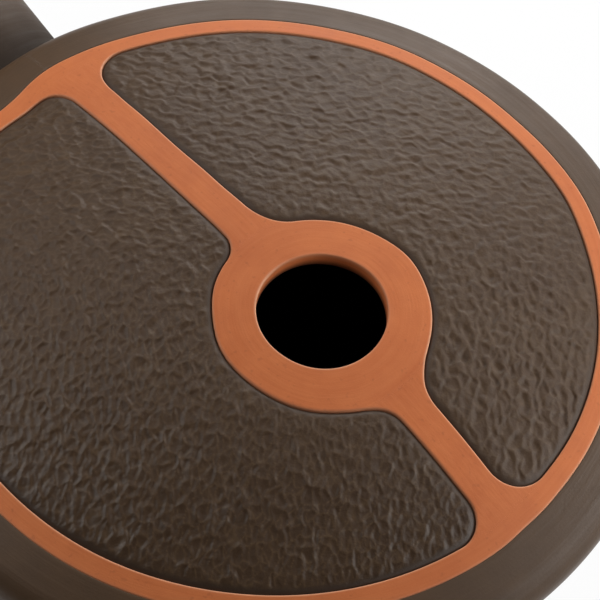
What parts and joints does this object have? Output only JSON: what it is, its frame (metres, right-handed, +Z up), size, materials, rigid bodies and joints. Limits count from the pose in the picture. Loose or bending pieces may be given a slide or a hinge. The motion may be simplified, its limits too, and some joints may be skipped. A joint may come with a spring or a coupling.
{
  "type": "udu drum",
  "caption": "Squat clay pot drum with a domed playing face, an off-centre sound hole in a bare clay collar, dark inlaid panels, a flared side neck and a ring foot.",
  "frame": {"origin": "on the table, at the middle of the foot ring", "axes": "+Z up through the dome, +Y from the pot's middle towards the neck's mouth, +X to the right of the neck as seen from above with the neck pointing away"},
  "size_m": [0.33, 0.4294, 0.1603],
  "materials": {
    "dark_slip": "burnished dark slip, low sheen",
    "dark_inlay": "dark slip over a fine wrinkled texture, matte",
    "bare_clay": "smooth unglazed terracotta, matte"
  },
  "bodies": {
    "root": {"lower_bowl": "dark_slip", "foot_ring": "bare_clay", "shoulder_ring": "dark_slip", "playing_face": "bare_clay", "hole_collar": "bare_clay", "inlay_left": "dark_inlay", "inlay_right": "dark_inlay", "neck": "dark_slip", "neck_lip": "dark_slip", "neck_root_coil": "dark_slip", "body_seam_coil": "bare_clay", "face_seam_coil": "bare_clay"}
  },
  "joints": []
}
